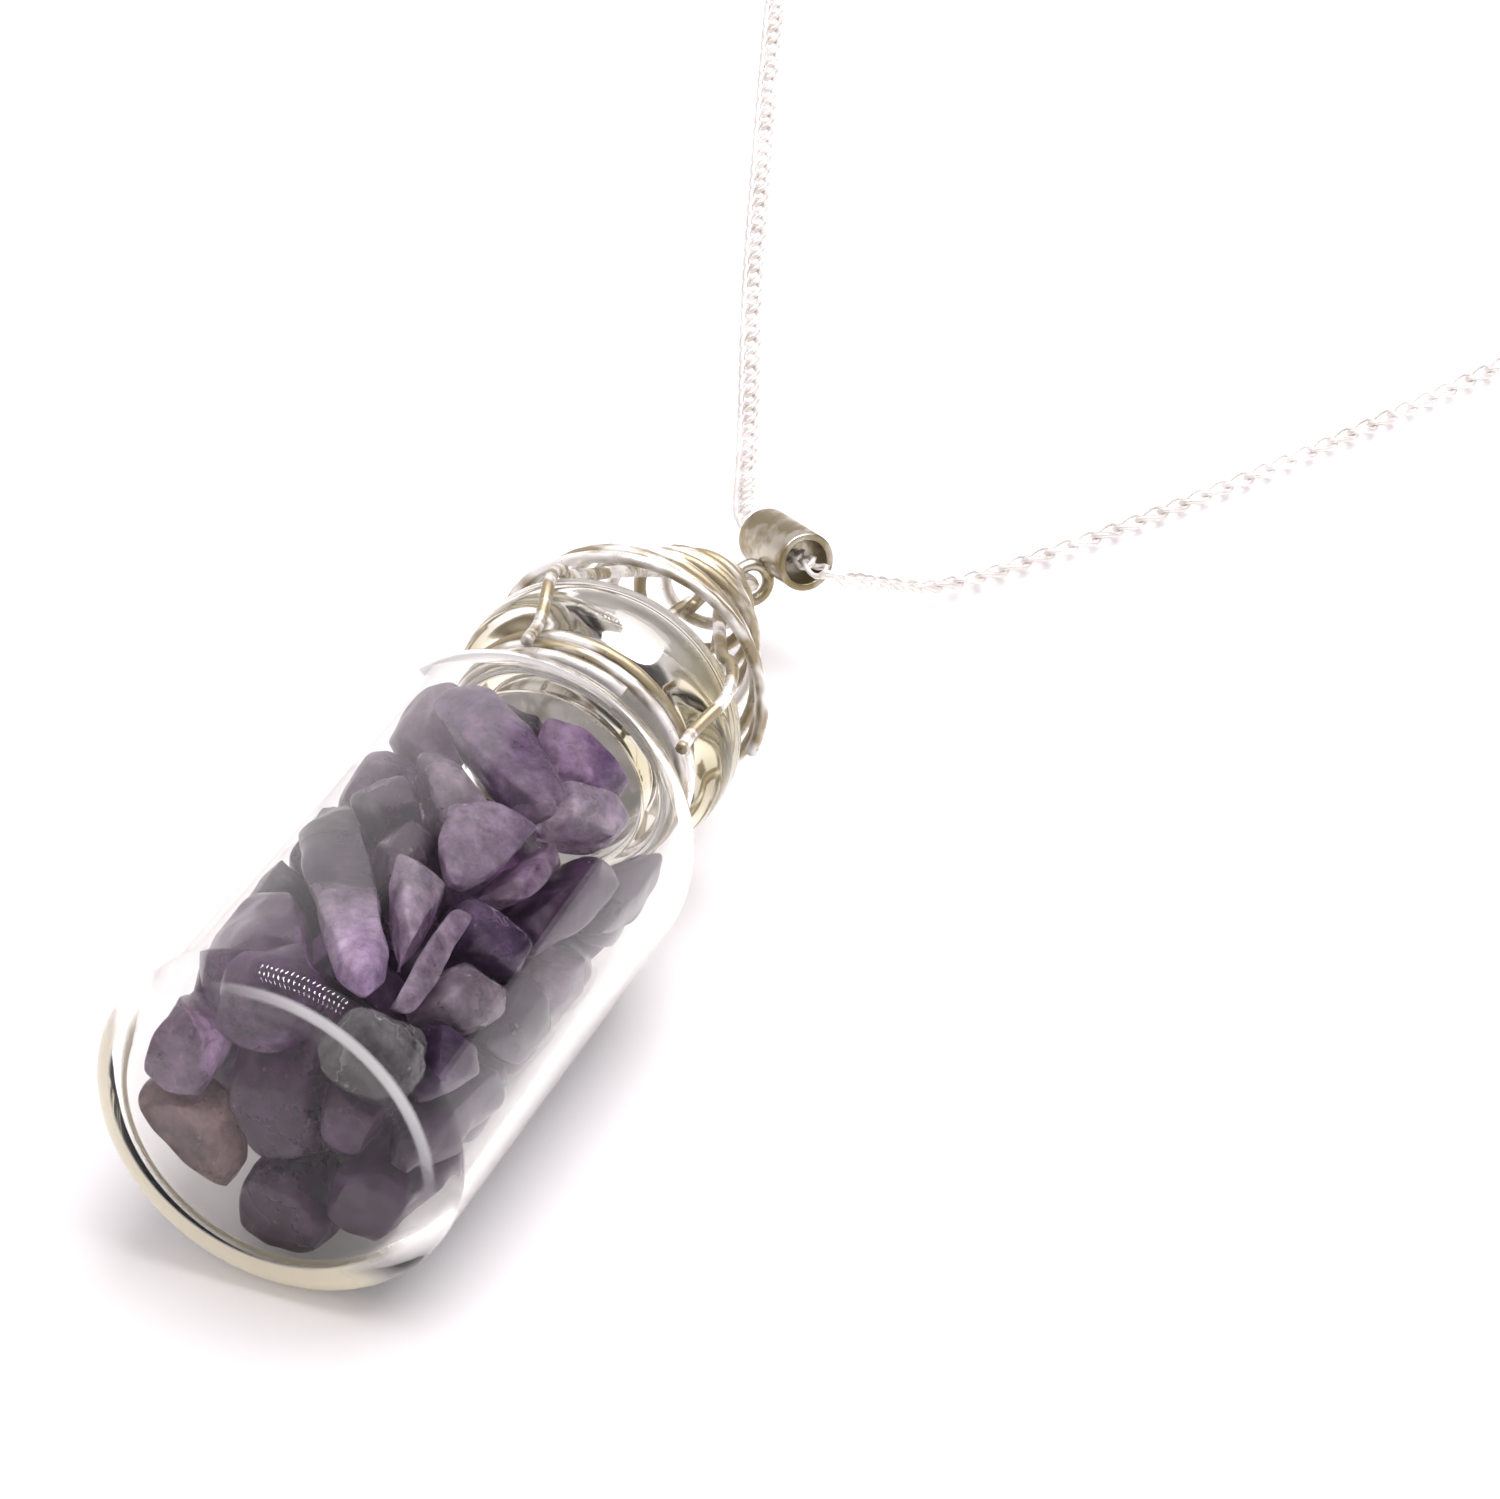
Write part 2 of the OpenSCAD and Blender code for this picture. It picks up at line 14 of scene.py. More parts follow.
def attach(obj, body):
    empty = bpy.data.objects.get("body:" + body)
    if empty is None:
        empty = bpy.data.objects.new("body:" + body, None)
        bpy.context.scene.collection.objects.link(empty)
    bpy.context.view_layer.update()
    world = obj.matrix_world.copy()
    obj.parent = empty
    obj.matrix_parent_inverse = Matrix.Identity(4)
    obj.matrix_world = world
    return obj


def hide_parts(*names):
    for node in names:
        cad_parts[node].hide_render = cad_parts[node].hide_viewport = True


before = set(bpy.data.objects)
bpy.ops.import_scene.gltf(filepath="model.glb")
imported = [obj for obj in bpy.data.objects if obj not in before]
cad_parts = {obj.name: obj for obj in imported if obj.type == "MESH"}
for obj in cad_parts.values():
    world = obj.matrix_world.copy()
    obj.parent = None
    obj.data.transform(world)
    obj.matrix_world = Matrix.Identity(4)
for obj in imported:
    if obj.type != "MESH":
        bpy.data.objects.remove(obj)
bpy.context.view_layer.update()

BODY = "root"
MM = 0.001
ROW_ORIGIN = Vector((10, 117.55, 0))
TO_ROW = Matrix.Scale(MM, 4) @ Matrix.Translation(-ROW_ORIGIN)
FROM_ROW = TO_ROW.inverted()

# The vial, as the solids have it
BOTTLE_R = 8.0
CAVITY_R = 7.1
BASE_WALL = 1.2
BODY_LEN = 23.5
FOOT_ROUND = 1.6
SHOULDER_ROUND = 3.8
NECK_R = 5.0
NECK_FILLET = 0.8
BORE_R = 4.2
LIP_R = 6.4
LIP_ROUND = 1.1
LIP_START = 30.411
MOUTH = 33.811
AXIS = Vector((0, 0, BOTTLE_R))
ALONG = Vector((0, 1, 0))

# The wire, and how far its middle lies from the glass, or from the middle of a wire that it crosses
WIRE_R = 0.28
ON_GLASS = 0.40
ON_WIRE = 0.68


# The camera and the light

CAMERA_AT = Vector((0.0899, -0.30015, 0.172))
CAMERA_PITCH, CAMERA_TURN, CAMERA_ROLL = 35.01, -23.37, -0.19
CAMERA_LENS = 160.5
SOFT_LIGHT_AT = Vector((0.26, 0.18, 0.85))
SOFT_LIGHT_R = 0.5
SOFT_LIGHT_POWER = 5.1
# The lamps' places are slopes from the top of the vial's foot; a row is (name, slope along Y, power)
FOOT_TOP = Vector((-0.010, -0.116, 0.016))
LAMP_HEIGHT = 0.5
LAMPS_FROM, LAMPS_OVER, LAMPS_A_ROW = -0.465, 0.865, 18
LAMP_SHAPE = Matrix.Diagonal((0.0036, 0.052, 1, 1))
LAMP_ROWS = (("first", 0.205, 34), ("second", -0.20, 34), ("third", -0.56, 12))
ROOM_TINT = (1.0, 0.945, 0.975)


def add_camera():
    camera = bpy.data.objects.new("camera", bpy.data.cameras.new("camera"))
    bpy.context.scene.collection.objects.link(camera)
    pitch, turn, roll = (math.radians(a) for a in (CAMERA_PITCH, CAMERA_TURN, CAMERA_ROLL))
    look = Vector((math.cos(pitch) * math.sin(turn), math.cos(pitch) * math.cos(turn), -math.sin(pitch)))
    level = Vector((math.cos(turn), -math.sin(turn), 0))
    upright = level.cross(look)
    right = math.cos(roll) * level + math.sin(roll) * upright
    up = right.cross(look)
    turned = Matrix((right, up, -look)).transposed().to_4x4()
    camera.matrix_world = Matrix.Translation(CAMERA_AT) @ turned
    camera.data.sensor_width = 36
    camera.data.lens = CAMERA_LENS
    camera.data.clip_start = 0.01
    camera.data.clip_end = 20
    bpy.context.scene.camera = camera


def add_room():
    """A pale room above a white table: bright overhead, shaded towards the camera, dark at the back."""
    world = bpy.data.worlds.new("room")
    bpy.context.scene.world = world
    world.use_nodes = True
    nodes, links = world.node_tree.nodes, world.node_tree.links
    nodes.clear()
    out = nodes.new("ShaderNodeOutputWorld")
    background = nodes.new("ShaderNodeBackground")
    where = nodes.new("ShaderNodeTexCoord").outputs["Generated"]
    ceiling = ramp(nodes, links, dot(nodes, links, where, (0, 0, 1)), [
        (0.0, grey(0.65)), (0.30, grey(0.90)), (0.66, grey(0.90)), (0.80, grey(0.60)), (1.0, grey(0.55))])
    front = ramp(nodes, links, dot(nodes, links, where, (0.30, -0.93, 0.2)), [
        (0.15, grey(1.0)), (0.60, grey(0.75)), (0.80, grey(0.6))])
    back = ramp(nodes, links, dot(nodes, links, where, (0.492, 0.738, 0.461)), [
        (0.78, grey(1.0)), (0.87, grey(0.10)), (1.0, grey(0.06))])
    light = both(nodes, links, both(nodes, links, ceiling, front), back)
    links.new(both(nodes, links, light, ROOM_TINT), background.inputs["Color"])
    background.inputs["Strength"].default_value = 1.0
    links.new(background.outputs[0], out.inputs["Surface"])


def lamp_nodes(name):
    """An empty material for a lamp's mesh, with its light path and an emission of strength 1."""
    material = bpy.data.materials.new(name)
    material.use_nodes = True
    nodes, links = material.node_tree.nodes, material.node_tree.links
    nodes.clear()
    path = nodes.new("ShaderNodeLightPath").outputs
    return material, nodes, links, path, nodes.new("ShaderNodeEmission")


def add_stage(name, bm, material):
    """A thing round the pendant that isn't part of it."""
    thing = placed(name, bm, material)
    return thing


def add_soft_light():
    """A wide soft lamp overhead, which lights everything but shows no mirror image in the clear glass."""
    material, nodes, links, path, glow = lamp_nodes("soft_light")
    in_mirror = number(nodes, links, "GREATER_THAN", path["Glossy Depth"], 0.5)
    straight_on = number(nodes, links, "LESS_THAN", path["Diffuse Depth"], 0.5)
    mirrored = number(nodes, links, "MULTIPLY", in_mirror, straight_on)
    mirrored = number(nodes, links, "MULTIPLY", mirrored, path["Is Singular Ray"])
    glow.inputs["Color"].default_value = (1.0, 0.955, 0.98, 1)
    glow.inputs["Strength"].default_value = SOFT_LIGHT_POWER
    either = nodes.new("ShaderNodeMixShader")
    links.new(mirrored, either.inputs[0])
    links.new(glow.outputs[0], either.inputs[1])
    links.new(nodes.new("ShaderNodeBsdfTransparent").outputs[0], either.inputs[2])
    links.new(either.outputs[0], nodes.new("ShaderNodeOutputMaterial").inputs["Surface"])
    bm = bmesh.new()
    bmesh.ops.create_circle(bm, cap_ends=True, segments=32, radius=SOFT_LIGHT_R,
                            matrix=Matrix.Translation(SOFT_LIGHT_AT))
    lamp = add_stage("soft_light", bm, material)
    lamp.visible_camera = False
    lamp.visible_shadow = False


def add_lamp_rows():
    """The rows of small lamps overhead, which the vial's foot mirrors as rows of dots."""
    for name, slope, power in LAMP_ROWS:
        material, nodes, links, path, glow = lamp_nodes("lamp_row_" + name)
        first_mirror = number(nodes, links, "LESS_THAN", path["Ray Depth"], 1.5)
        links.new(number(nodes, links, "MULTIPLY", first_mirror, power), glow.inputs["Strength"])
        links.new(glow.outputs[0], nodes.new("ShaderNodeOutputMaterial").inputs["Surface"])
        bm = bmesh.new()
        for k in range(LAMPS_A_ROW):
            spot = LAMP_HEIGHT * Vector((LAMPS_FROM + LAMPS_OVER * k / (LAMPS_A_ROW - 1), slope, 1))
            bmesh.ops.create_circle(bm, cap_ends=True, segments=12, radius=1,
                                    matrix=Matrix.Translation(spot + FOOT_TOP) @ LAMP_SHAPE)
        row = add_stage("lamp_row_" + name, bm, material)
        for way in ("camera", "diffuse", "transmission", "shadow", "volume_scatter"):
            setattr(row, "visible_" + way, False)


# Materials

# The way from the vial's axis to the side of the base's edge that gets a painted highlight, and how far
# that is, in millimetres
HIGHLIGHT_WAY = Vector((0.64, 0, 0.77))
RING_R = 7.0


def shader(name):
    material = bpy.data.materials.new(name)
    material.use_nodes = True
    nodes = material.node_tree.nodes
    return material, nodes, material.node_tree.links, nodes["Principled BSDF"]


def put(links, socket, value):
    """Fills a socket from another node, or with a number or a colour."""
    if isinstance(value, bpy.types.NodeSocket):
        links.new(value, socket)
    elif isinstance(value, (int, float)):
        socket.default_value = value
    else:
        socket.default_value = (*value, 1)


def number(nodes, links, way, *values):
    """A Math node on numbers or on other nodes' results."""
    node = nodes.new("ShaderNodeMath")
    node.operation = way
    for socket, value in zip(node.inputs, values):
        put(links, socket, value)
    return node.outputs[0]


def pattern(nodes, links, scale, detail=2.0, rough=0.5, offset=0.0, stretch=(1, 1, 1)):
    """Noise in the piece's own place; scale is in waves a metre."""
    where = nodes.new("ShaderNodeTexCoord")
    mapping = nodes.new("ShaderNodeMapping")
    mapping.inputs["Location"].default_value = (offset, offset * 0.7, -offset * 0.4)
    mapping.inputs["Rotation"].default_value = (0.6, 0.4, 0.9)
    mapping.inputs["Scale"].default_value = stretch
    links.new(where.outputs["Object"], mapping.inputs["Vector"])
    texture = nodes.new("ShaderNodeTexNoise")
    texture.inputs["Scale"].default_value = scale
    texture.inputs["Detail"].default_value = detail
    texture.inputs["Roughness"].default_value = rough
    links.new(mapping.outputs["Vector"], texture.inputs["Vector"])
    return texture.outputs["Fac"]


def ramp(nodes, links, source, stops):
    """Colours along a value, from stops of (value, colour)."""
    node = nodes.new("ShaderNodeValToRGB")
    elements = node.color_ramp.elements
    elements[0].position, elements[0].color = stops[0][0], (*stops[0][1], 1)
    elements[1].position, elements[1].color = stops[-1][0], (*stops[-1][1], 1)
    for place, colour in stops[1:-1]:
        elements.new(place).color = (*colour, 1)
    links.new(source, node.inputs["Fac"])
    return node.outputs["Color"]


def grey(v):
    return (v, v, v)


def in_cm(nodes, links, metres, start=0.0):
    """A distance in centimetres, counted from start millimetres."""
    return number(nodes, links, "MULTIPLY_ADD", metres, 1 / (10 * MM), -start / 10)


def dot(nodes, links, vector, way):
    node = nodes.new("ShaderNodeVectorMath")
    node.operation = "DOT_PRODUCT"
    links.new(vector, node.inputs[0])
    node.inputs[1].default_value = way
    return node.outputs["Value"]


def mix(nodes, links, share, a, b, way="MIX"):
    node = nodes.new("ShaderNodeMix")
    node.data_type = "RGBA"
    node.blend_type = way
    for slot, value in ((0, share), (6, a), (7, b)):
        put(links, node.inputs[slot], value)
    return node.outputs[2]


def both(nodes, links, a, b):
    """Two masks or colours multiplied."""
    return mix(nodes, links, 1.0, a, b, "MULTIPLY")


def bump(nodes, links, height, strength, distance, normal=None):
    node = nodes.new("ShaderNodeBump")
    node.inputs["Strength"].default_value = strength
    node.inputs["Distance"].default_value = distance
    links.new(height, node.inputs["Height"])
    if normal:
        links.new(normal, node.inputs["Normal"])
    return node.outputs["Normal"]


def vial_glass():
    """Clear soda glass, with a painted highlight as a white ring on the upper side of the base's edge, an
    olive foot and lip, and a less smooth neck.
    """
    material, nodes, links, bsdf = shader("vial_glass")
    bsdf.inputs["IOR"].default_value = 1.51
    waves = pattern(nodes, links, 90, 1)
    links.new(bump(nodes, links, waves, 0.03, 0.0004), bsdf.inputs["Normal"])
    place = nodes.new("ShaderNodeTexCoord").outputs["Object"]
    along = dot(nodes, links, place, (0, 1, 0))
    off_axis = nodes.new("ShaderNodeVectorMath")
    off_axis.operation = "MULTIPLY_ADD"
    off_axis.inputs[1].default_value = (1, 0, 1)
    off_axis.inputs[2].default_value = (ROW_ORIGIN.x * MM, 0, -BOTTLE_R * MM)
    links.new(place, off_axis.inputs[0])
    off_axis = off_axis.outputs[0]
    length = nodes.new("ShaderNodeVectorMath")
    length.operation = "LENGTH"
    links.new(off_axis, length.inputs[0])
    radius = length.outputs["Value"]

    def from_base(start, stops):
        """A mask by the distance along the axis, in centimetres from start."""
        return ramp(nodes, links, in_cm(nodes, links, along, start - ROW_ORIGIN.y), stops)

    def towards(way, reach, stops):
        """A mask by the distance from the axis one way, in shares of reach millimetres."""
        share = dot(nodes, links, off_axis, tuple(c / (reach * MM) for c in way))
        return ramp(nodes, links, share, stops)

    # A painted highlight: a ring round the base's edge is made white and less clear, on its upper side only
    ring = ramp(nodes, links, in_cm(nodes, links, radius), [
        (0.688, grey(0)), (0.702, grey(0.9)), (0.728, grey(1)), (0.742, grey(0))])
    upper = towards(HIGHLIGHT_WAY, RING_R, [(0.55, grey(0)), (0.95, grey(1))])
    at_base = from_base(0, [(0.03, grey(0.6)), (0.06, grey(0.0))])
    ring_highlight = both(nodes, links, both(nodes, links, ring, upper), at_base)

    # The lower side of the foot is fire-dulled, so that it shows an even olive
    widened = number(nodes, links, "ADD", radius, dot(nodes, links, off_axis, (0, 0, -0.11)))
    rim = ramp(nodes, links, in_cm(nodes, links, widened), [(0.672, grey(0)), (0.687, grey(1))])
    lower = towards(-HIGHLIGHT_WAY, RING_R, [(0.0, grey(0)), (0.35, grey(1))])
    foot = from_base(0, [(0.10, grey(1)), (0.16, grey(0))])
    dull = both(nodes, links, both(nodes, links, rim, lower), foot)
    pressed = from_base(27.5, [(0.0, grey(0)), (0.1, grey(0.06))])
    links.new(mix(nodes, links, dull, pressed, grey(0.30)), bsdf.inputs["Roughness"])
    clouded = mix(nodes, links, dull, ring_highlight, grey(0.86))
    clearness = nodes.new("ShaderNodeInvert")
    links.new(clouded, clearness.inputs["Color"])
    links.new(clearness.outputs[0], bsdf.inputs["Transmission Weight"])
    lip = from_base(LIP_START - 0.2, [(0.0, grey(0)), (0.03, grey(1))])
    sideways = number(nodes, links, "ABSOLUTE", dot(nodes, links, off_axis, (1 / (LIP_R * MM), 0, 0)))
    lip_edge = ramp(nodes, links, sideways, [(0.60, grey(0)), (0.86, grey(1))])
    olive = mix(nodes, links, dull, (1, 1, 1), (0.87, 0.81, 0.62))
    olive = mix(nodes, links, both(nodes, links, lip, lip_edge), olive, (0.74, 0.68, 0.42))
    links.new(olive, bsdf.inputs["Base Color"])

    # The flat base and the right side mirror less, as they're turned to the table
    in_base = from_base(0, [(0.13, grey(1)), (0.15, grey(0))])
    in_disc = ramp(nodes, links, in_cm(nodes, links, radius), [(0.62, grey(1)), (0.65, grey(0))])
    rightward = towards((1, 0, 0), BOTTLE_R, [(0.55, grey(0.82)), (0.85, grey(0.55))])
    links.new(mix(nodes, links, both(nodes, links, in_base, in_disc), rightward, grey(0.15)),
              bsdf.inputs["Specular Tint"])
    tint = nodes.new("ShaderNodeVolumeAbsorption")
    tint.inputs["Color"].default_value = (0.90, 0.868, 0.75, 1)
    tint.inputs["Density"].default_value = 90
    links.new(tint.outputs[0], nodes["Material Output"].inputs["Volume"])
    return material


def resin():
    """The clear plug in the neck, slightly milky with small bubbles."""
    material, nodes, links, bsdf = shader("clear_resin")
    bsdf.inputs["Base Color"].default_value = (0.96, 0.95, 0.9, 1)
    bsdf.inputs["Transmission Weight"].default_value = 0.5
    bsdf.inputs["IOR"].default_value = 1.46
    cloud = pattern(nodes, links, 500, 4)
    links.new(ramp(nodes, links, cloud, [(0.4, grey(0.05)), (0.7, grey(0.35))]),
              bsdf.inputs["Roughness"])
    links.new(bump(nodes, links, cloud, 0.4, 0.0003), bsdf.inputs["Normal"])
    return material


def amethyst(name, tone, offset, light_and_shade_along=False):
    """Tumbled quartz: cloudy bands of colour, pale flecks, fine scratches and a soft polish."""
    deep, pale, clear, rough, flecks, cracks = tone
    material, nodes, links, bsdf = shader("amethyst_" + name)
    clouds = pattern(nodes, links, 230, 5, 0.55, offset)
    colour = ramp(nodes, links, clouds, [(0.34, deep), (0.68, pale)])
    veils = pattern(nodes, links, 800, 5, 0.62, offset + 1.6)
    shade = ramp(nodes, links, veils, [(0.34, grey(0.66)), (0.50, grey(0.98)), (0.68, grey(1.5))])
    colour = both(nodes, links, colour, shade)
    grain = pattern(nodes, links, 2400, 6, 0.7, offset + 0.3)
    shade = ramp(nodes, links, grain, [(0.30, grey(0.66)), (0.62, grey(1.12))])
    colour = both(nodes, links, colour, shade)
    specks = pattern(nodes, links, 2600, 2, 0.5, offset + 0.7)
    fleck_mask = ramp(nodes, links, specks, [(0.70, grey(0.0)), (0.78, grey(flecks))])
    colour = mix(nodes, links, fleck_mask, colour, (0.66, 0.62, 0.68))
    if light_and_shade_along:
        # Painted light and shade: the long chip is made lighter towards the foot, where it is milky and
        # lets light through, and darker towards the neck
        place = nodes.new("ShaderNodeTexCoord").outputs["Object"]
        along = dot(nodes, links, place, (0, 1, 0))
        shade = ramp(nodes, links, in_cm(nodes, links, along, LONG_CHIP_FROM - ROW_ORIGIN.y), [
            (0.0, grey(2.6)), (0.25, grey(1.5)), (0.42, grey(0.44)), (1.0, grey(0.12))])
        colour = both(nodes, links, colour, shade)
    if cracks:
        veins = pattern(nodes, links, 420, 3, 0.6, offset + 1.1)
        line = ramp(nodes, links, veins,
                    [(0.486, grey(0.0)), (0.50, grey(cracks)), (0.514, grey(0.0))])
        where = pattern(nodes, links, 330, 1, 0.5, offset + 2.0)
        part = ramp(nodes, links, where, [(0.44, grey(0.0)), (0.54, grey(1.0))])
        colour = mix(nodes, links, both(nodes, links, line, part), colour, (0.85, 0.8, 0.86))
    links.new(colour, bsdf.inputs["Base Color"])
    links.new(ramp(nodes, links, clouds, [(0.3, grey(rough * 0.75)), (0.7, grey(rough * 1.35))]),
              bsdf.inputs["Roughness"])
    bsdf.inputs["IOR"].default_value = 1.544
    bsdf.inputs["Transmission Weight"].default_value = clear
    bsdf.inputs["Specular IOR Level"].default_value = 0.32
    dents = pattern(nodes, links, 900, 4, 0.6, offset + 0.5)
    first = bump(nodes, links, dents, 0.35, 0.00025)
    links.new(bump(nodes, links, grain, 0.10, 0.00005, first), bsdf.inputs["Normal"])
    return material


SILVERS = {
    # name: (colour, dull colour, roughness, metallic, lines' scale, patches' scale, their stretches)
    "drawn": ((1.0, 0.98, 0.95), (0.36, 0.30, 0.19), 0.34, 0.42, 1800, 240, (1, 1, 1), (1, 4, 1)),
    "brushed_bail": ((0.52, 0.485, 0.40), (0.28, 0.23, 0.13), 0.34, 1.0, 2400, 500, (1, 0.15, 0.3),
                     (1, 1, 1)),
    "chain": ((0.97, 0.95, 0.93), (0.84, 0.80, 0.76), 0.42, 0.6, 1500, 500, (1, 1, 1), (1, 1, 1)),
}


def silver_plate(name):
    """Silver plate: drawn or brushed lines, uneven polish and darker, warmer patches."""
    colour, dull, rough, metallic, line_scale, patch_scale, line_stretch, patch_stretch = SILVERS[name]
    material, nodes, links, bsdf = shader(name + "_silver")
    bsdf.inputs["Metallic"].default_value = metallic
    lines = pattern(nodes, links, line_scale, 4, 0.6, 0.0, line_stretch)
    worn = pattern(nodes, links, patch_scale, 3, 0.6, 0.4, patch_stretch)
    links.new(ramp(nodes, links, worn, [(0.46, dull), (0.58, colour)]), bsdf.inputs["Base Color"])
    links.new(ramp(nodes, links, lines, [(0.3, grey(rough * 0.7)), (0.7, grey(rough * 1.4))]),
              bsdf.inputs["Roughness"])
    links.new(bump(nodes, links, lines, 0.15, 0.00004), bsdf.inputs["Normal"])
    return material


def table_white():
    material, nodes, links, bsdf = shader("white_table")
    soft = pattern(nodes, links, 30, 2)
    links.new(ramp(nodes, links, soft, [(0.3, (0.93, 0.925, 0.93)), (0.7, (0.95, 0.945, 0.95))]),
              bsdf.inputs["Base Color"])
    bsdf.inputs["Roughness"].default_value = 0.45
    bsdf.inputs["Emission Color"].default_value = (1.0, 0.95, 0.98, 1)
    bsdf.inputs["Emission Strength"].default_value = 0.09
    return material


# Putting pieces in place

def placed(name, bm, material):
    """An object at the origin with this mesh."""
    mesh = bpy.data.meshes.new(name)
    bm.to_mesh(mesh)
    bm.free()
    mesh.materials.append(material)
    thing = bpy.data.objects.new(name, mesh)
    bpy.context.scene.collection.objects.link(thing)
    return thing


def settle(name, bm, material, node):
    """Makes a piece from a mesh in millimetres, in the row's frame, in place of this node."""
    bmesh.ops.transform(bm, matrix=TO_ROW, verts=bm.verts)
    piece = placed(name, bm, material)
    piece.data.shade_smooth()
    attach(piece, BODY)
    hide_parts(node)


def turned(corners, closed, steps=96, cent=AXIS, axis=ALONG, out=Vector((1, 0, 0))):
    """A turned shape. Corners are (radius, distance along the axis, rounding)."""
    bm = bmesh.new()
    verts = [bm.verts.new(cent + r * out + y * axis) for r, y, _ in corners]
    count = len(corners)
    for i in range(count if closed else count - 1):
        bm.edges.new((verts[i], verts[(i + 1) % count]))
    for i, (_, _, rounding) in enumerate(corners):
        if rounding:
            before, after = verts[i - 1].co - verts[i].co, verts[(i + 1) % count].co - verts[i].co
            offset = rounding * math.tan((math.pi - before.angle(after)) / 2)
            bmesh.ops.bevel(bm, geom=[verts[i]], offset=offset, offset_type="OFFSET", affect="VERTICES",
                            segments=7, profile=0.5, material=-1)
            verts = [v if v.is_valid else None for v in verts]
            verts = nearest_again(bm, corners, verts, cent, axis, out)
    bmesh.ops.spin(bm, geom=bm.verts[:] + bm.edges[:], cent=cent, axis=axis, angle=math.tau,
                   steps=steps, use_merge=True)
    bmesh.ops.remove_doubles(bm, verts=bm.verts, dist=0.0005)
    bmesh.ops.recalc_face_normals(bm, faces=bm.faces)
    return bm


def nearest_again(bm, corners, verts, cent, axis, out):
    """Finds the corners still to be rounded, after a bevel has renewed the mesh."""
    found = []
    for v, (r, y, _) in zip(verts, corners):
        if v is None or not v.is_valid:
            at = cent + r * out + y * axis
            v = min(bm.verts, key=lambda w: (w.co - at).length)
        found.append(v)
    return found


def round_turn(count):
    """So many even angles round a full turn."""
    return [math.tau * k / count for k in range(count)]


def wire(points, radius, sides=2, closed=False):
    """A round wire along points, as a mesh in millimetres."""
    curve = bpy.data.curves.new("wire", "CURVE")
    curve.dimensions = "3D"
    curve.bevel_depth = radius
    curve.bevel_resolution = sides
    curve.use_fill_caps = not closed
    spline = curve.splines.new("POLY")
    spline.points.add(len(points) - 1)
    for knot, p in zip(spline.points, points):
        knot.co = (*p, 1)
    spline.use_cyclic_u = closed
    maker = bpy.data.objects.new("wire", curve)
    bpy.context.scene.collection.objects.link(maker)
    mesh = maker.to_mesh()
    bm = bmesh.new()
    bm.from_mesh(mesh)
    maker.to_mesh_clear()
    bpy.data.objects.remove(maker)
    bpy.data.curves.remove(curve)
    bmesh.ops.remove_doubles(bm, verts=bm.verts, dist=0.0005)
    bmesh.ops.recalc_face_normals(bm, faces=bm.faces)
    return bm


def add_to(bm, other):
    """Joins another bmesh to bm."""
    mesh = bpy.data.meshes.new("part")
    other.to_mesh(mesh)
    other.free()
    bm.from_mesh(mesh)
    bpy.data.meshes.remove(mesh)


def smooth_path(points, steps):
    """A smooth curve through points, with so many steps from each to the next."""
    count = len(points)
    path = []
    for i in range(count - 1):
        a, b = points[max(i - 1, 0)], points[i]
        c, d = points[i + 1], points[min(i + 2, count - 1)]
        for k in range(steps):
            t = k / steps
            bend = (2 * a - 5 * b + 4 * c - d) + t * (3 * b - a - 3 * c + d)
            path.append(b + 0.5 * t * ((c - a) + t * bend))
    path.append(points[-1])
    return path


# The vial

def shoulder_corners():
    """Where the shoulder's sloping line would meet the body's side and the neck's side."""
    centre_r = BOTTLE_R - SHOULDER_ROUND
    turn = math.acos((NECK_R - centre_r + NECK_FILLET) / (SHOULDER_ROUND + NECK_FILLET))
    meet_r = centre_r + SHOULDER_ROUND * math.cos(turn)
    meet_y = BODY_LEN + SHOULDER_ROUND * math.sin(turn)
    slope = math.cos(turn) / math.sin(turn)
    return meet_y - (BOTTLE_R - meet_r) * slope, meet_y + (meet_r - NECK_R) * slope


def add_vial(glass):
    side, neck = shoulder_corners()
    inner_shoulder = BODY_LEN + 2.9
    bm = turned([
        (0, 0, 0), (BOTTLE_R, 0, FOOT_ROUND), (BOTTLE_R, side, SHOULDER_ROUND), (NECK_R, neck, NECK_FILLET),
        (NECK_R, LIP_START, 0.25), (LIP_R, LIP_START, LIP_ROUND), (LIP_R, MOUTH, LIP_ROUND),
        (BORE_R, MOUTH, 0.5), (BORE_R, inner_shoulder, 0.3), (CAVITY_R, inner_shoulder, 2.6),
        (CAVITY_R, BASE_WALL, 1.15), (0, BASE_WALL, 0),
    ], closed=False, steps=128)
    settle("vial", bm, glass, "bottle")


def add_plug(material):
    r, low = BORE_R - 0.12, MOUTH - 5
    bm = turned([(0, low, 0), (r, low, 0.5), (r, MOUTH, 0.4), (0, MOUTH, 0)], closed=False, steps=64)
    settle("neck_plug", bm, material, "stopper")


# The chips

